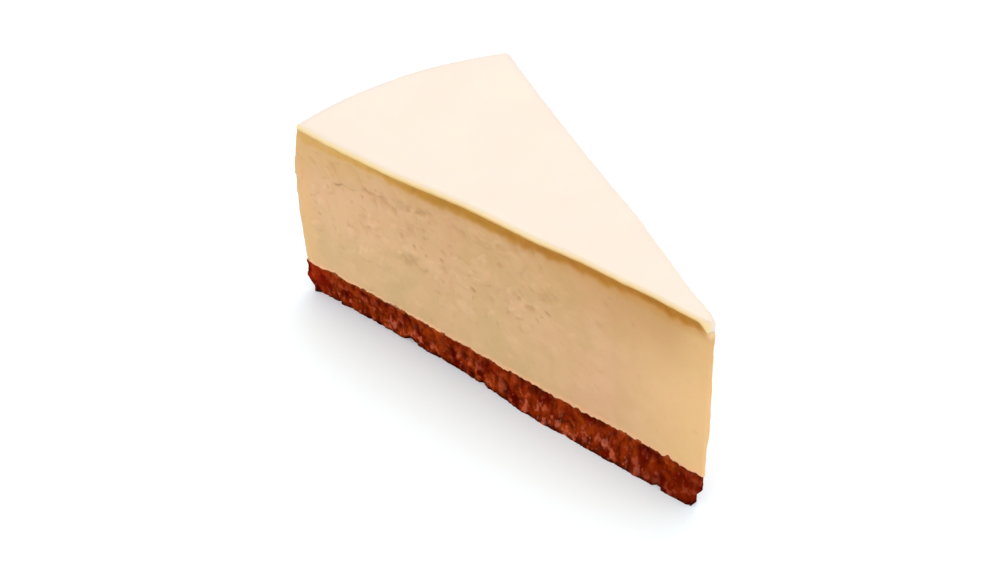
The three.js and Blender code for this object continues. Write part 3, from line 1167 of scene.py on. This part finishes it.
def shape_sheet(bm, names):
    """Round the lip, let it follow the cuts below, and give the upper side a gentle swell."""
    stores = {name: bm.verts.layers.float.new(name) for name in names}
    for vert in bm.verts:
        flat = vert.co - AXIS
        z = vert.co.z
        angle = math.atan2(flat.x, flat.y)
        side = NEAR if angle < 0 else FAR
        across = abs(angle / HALF_ANGLE)
        share = (math.hypot(flat.x, flat.y) - TIP_BLUNT) / (CAKE_RADIUS - TIP_BLUNT)
        climb = max(0.0, 1 - (SLICE_HEIGHT - z) / LIP_RADIUS[side])
        rounding = LIP_RADIUS[side] * (1 - math.sqrt(max(0.0, 1 - climb * climb)))
        radius = mix(TOP_TIP + rounding / 2, wall_radius(z, angle) - rounding, share)
        out = lip_overhang(side, radius, z) + cut_stray(side, radius, z)
        out += lip_stray(side, radius, angle, z) * across
        out -= rounding + corner_draw(radius, z)
        out = max(out, -TIP_KEEPS_LIP * radius * math.sin(HALF_ANGLE)) * across
        at = around(radius, angle, z)
        at += Vector((side * math.cos(HALF_ANGLE), -side * math.sin(HALF_ANGLE), 0)) * out
        at.z -= tip_drape(radius, z)
        if z > UPPER_SIDE_Z:
            swell = noise.noise(Vector((at.x, at.y, 0)) / SWELL_SIZE) - 1
            at.z += SWELL * swell * smooth(min(1 - across, 1 - share), 0.0, SWELL_FADE)
        for name, value in lip_values(side, radius, z, climb, across, share).items():
            vert[stores[name]] = value
        vert.co = at


# %% [markdown]
# ## The colour of the top
#
# The skin of the top is nearly white, with a warm yellow tinge where the lip turns over. It is
# smooth and faintly glossy, with only the slightest waviness.

# %% Finish of the pale top
cream = Finish("pale_cream")
drift = cream.clouds(16 * MM, 3).step(0.35, 0.65)
pores = cream.clouds(0.7 * MM, 3)
# Painted shade with ochre on the foot of the lip, matching the groove below it.
lip_foot_ochre_and_shade = cream.tint(cream.from_axis().step(60 * MM, 92 * MM), colour(184, 130, 40), colour(207, 167, 92))
pale = cream.coats(
    cream.tint(drift, colour(227, 211, 196), colour(229, 213, 198)),
    (cream.drawn("rim") * 0.5, colour(206, 198, 192)),
    (cream.drawn("lip"), colour(237, 210, 154)),
    (cream.drawn("under"), lip_foot_ochre_and_shade),
)
cream.wear(
    Base_Color=pale,
    Roughness=0.42 + 0.16 * pores,
    Subsurface_Weight=0.3,
    Subsurface_Radius=(1.0, 0.7, 0.4),
    Subsurface_Scale=1.5 * MM,
    Specular_IOR_Level=0.3,
)
cream.bump(pores, 0.03 * MM)
print("nodes in the cream:", len(cream.tree.nodes))

# %% [markdown]
# The grid of the sheet is two thirds of a millimetre along the cut, which is fine enough for the
# lip's wobble.

# %% Make the top
bm = spin_sheet(TOP_Z, SLICE_HEIGHT, radius_steps=170, angle_steps=44)
shape_sheet(bm, ("lip", "under", "rim"))
finish_piece(bm, "pale_cream_top", cream, "pale_top")

# %% [markdown]
# ## The floor
#
# The photograph was taken on white. A plain pale floor gives the same, a little blue, because the
# slice throws warm light on it. It glows very slightly, so that it comes out as white as the
# surround does and the soft shadow does not turn too dark.

# %% Lay the floor
FLOOR_HALF_WIDTH = 3.0
FLOOR_GLOW = 0.06

floor_mesh = bpy.data.meshes.new("floor")
bm = bmesh.new()
bmesh.ops.create_grid(bm, x_segments=1, y_segments=1, size=FLOOR_HALF_WIDTH)
bm.to_mesh(floor_mesh)
bm.free()
floor = bpy.data.objects.new("floor", floor_mesh)
bpy.context.scene.collection.objects.link(floor)
floor_finish = Finish("white_floor")
floor_finish.wear(
    Base_Color=(0.88, 0.945, 0.99, 1.0),
    Roughness=0.9,
    Specular_IOR_Level=0.0,
    Emission_Color=(0.9, 1.0, 1.0, 1.0),
    Emission_Strength=FLOOR_GLOW,
)
floor_mesh.materials.append(floor_finish.material)
print("floor", 2 * FLOOR_HALF_WIDTH, "m wide")

# %% [markdown]
# ## The light
#
# The light comes from all round, so the only shadow is the soft one where the slice keeps the
# light from the floor beside it. An even white surround gives that, and one large, weak lamp
# from above and behind adds the faint difference between the sides.

# %% Set up the light
SURROUND = 1.135
LAMP_POWER = 3.5
LAMP_SIZE = 0.8
LAMP_PLACE = Vector((0.45, 0.4, 1.15))

world = bpy.data.worlds.new("surround")
world.use_nodes = True
world.node_tree.nodes["Background"].inputs["Color"].default_value = (1, 1, 1, 1)
world.node_tree.nodes["Background"].inputs["Strength"].default_value = SURROUND
bpy.context.scene.world = world

lamp_data = bpy.data.lights.new("soft_lamp", "AREA")
lamp_data.energy = LAMP_POWER
lamp_data.size = LAMP_SIZE
lamp = bpy.data.objects.new("soft_lamp", lamp_data)
lamp.location = LAMP_PLACE
lamp.rotation_euler = LAMP_PLACE.to_track_quat("Z", "Y").to_euler()
bpy.context.scene.collection.objects.link(lamp)
bpy.context.scene.view_settings.view_transform = "Standard"
print("lamp", round(LAMP_PLACE.length, 2), "m away")
